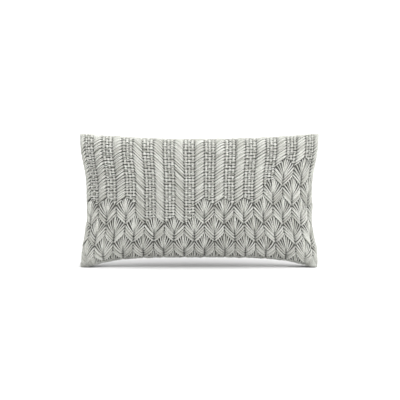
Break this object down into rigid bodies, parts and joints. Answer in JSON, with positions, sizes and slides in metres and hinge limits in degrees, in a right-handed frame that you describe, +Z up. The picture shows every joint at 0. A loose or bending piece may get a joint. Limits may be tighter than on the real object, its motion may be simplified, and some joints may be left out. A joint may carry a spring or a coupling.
{
  "type": "throw pillow",
  "caption": "Lumbar throw pillow with an embroidered wool front, a plain zipped back and a loose filled insert.",
  "frame": {"origin": "on the surface the pillow stands on, below the middle of the seam that joins front and back", "axes": "+X along the pillow's length, +Z up its height, the embroidered front facing -Y"},
  "size_m": [0.5525, 0.1121, 0.3098],
  "materials": {
    "embroidery_wool": "thick two-ply wool yarn in light heathered grey, stitched in ribs, plain weave and leaves",
    "canvas_wool": "open even-weave ground cloth in a darker warm grey",
    "back_cloth": "plain-woven light grey wool cloth, matte",
    "zip_tape": "woven polyester tape",
    "zip_coil": "moulded nylon coil, slightly glossy",
    "zip_metal": "satin nickel plate",
    "insert_cotton": "white cotton ticking",
    "insert_fibre": "white polyester filling"
  },
  "bodies": {
    "pillow": {"rib_01": "embroidery_wool", "rib_02": "embroidery_wool", "rib_03": "embroidery_wool", "rib_04": "embroidery_wool", "rib_05": "embroidery_wool", "rib_06": "embroidery_wool", "rib_07": "embroidery_wool", "rib_08": "embroidery_wool", "rib_09": "embroidery_wool", "rib_10": "embroidery_wool", "rib_11": "embroidery_wool", "rib_12": "embroidery_wool", "rib_13": "embroidery_wool", "woven_band_01": "embroidery_wool", "woven_band_02": "embroidery_wool", "woven_band_03": "embroidery_wool", "woven_band_04": "embroidery_wool", "woven_band_05": "embroidery_wool", "woven_band_06": "embroidery_wool", "woven_band_07": "embroidery_wool", "woven_band_08": "embroidery_wool", "woven_band_09": "embroidery_wool", "woven_band_10": "embroidery_wool", "woven_band_11": "embroidery_wool", "woven_band_12": "embroidery_wool", "leaf_row_1": "embroidery_wool", "leaf_row_2": "embroidery_wool", "leaf_row_3_left": "embroidery_wool", "leaf_row_3_right": "embroidery_wool", "leaf_row_4": "embroidery_wool", "leaf_row_5": "embroidery_wool", "leaf_row_6": "embroidery_wool", "front_canvas": "canvas_wool", "back_panel_upper": "back_cloth", "back_panel_lower": "back_cloth", "zip_tape_upper": "zip_tape", "zip_coil_upper": "zip_coil", "zip_top_stop_upper": "zip_metal", "zip_tape_lower": "zip_tape", "zip_coil_lower": "zip_coil", "zip_top_stop_lower": "zip_metal", "zip_bottom_stop": "zip_metal", "insert_case_front": "insert_cotton", "insert_case_back": "insert_cotton", "insert_filling": "insert_fibre"},
    "slider": {"zip_slider": "zip_metal"},
    "pull": {"zip_pull": "zip_metal"}
  },
  "joints": [
    {"name": "zip_slider_travel", "type": "hinge", "parent": "pillow", "child": "slider", "pos_m": [0, -1.42211, 0.062], "axis": [0, 0, 1], "range_deg": [0, 15.2]},
    {"name": "zip_pull_swing", "type": "hinge", "parent": "slider", "child": "pull", "pos_m": [0.19358, 0.0286, 0.05968], "axis": [-0.0566, -0.424, -0.9039], "range_deg": [0, 170]}
  ]
}
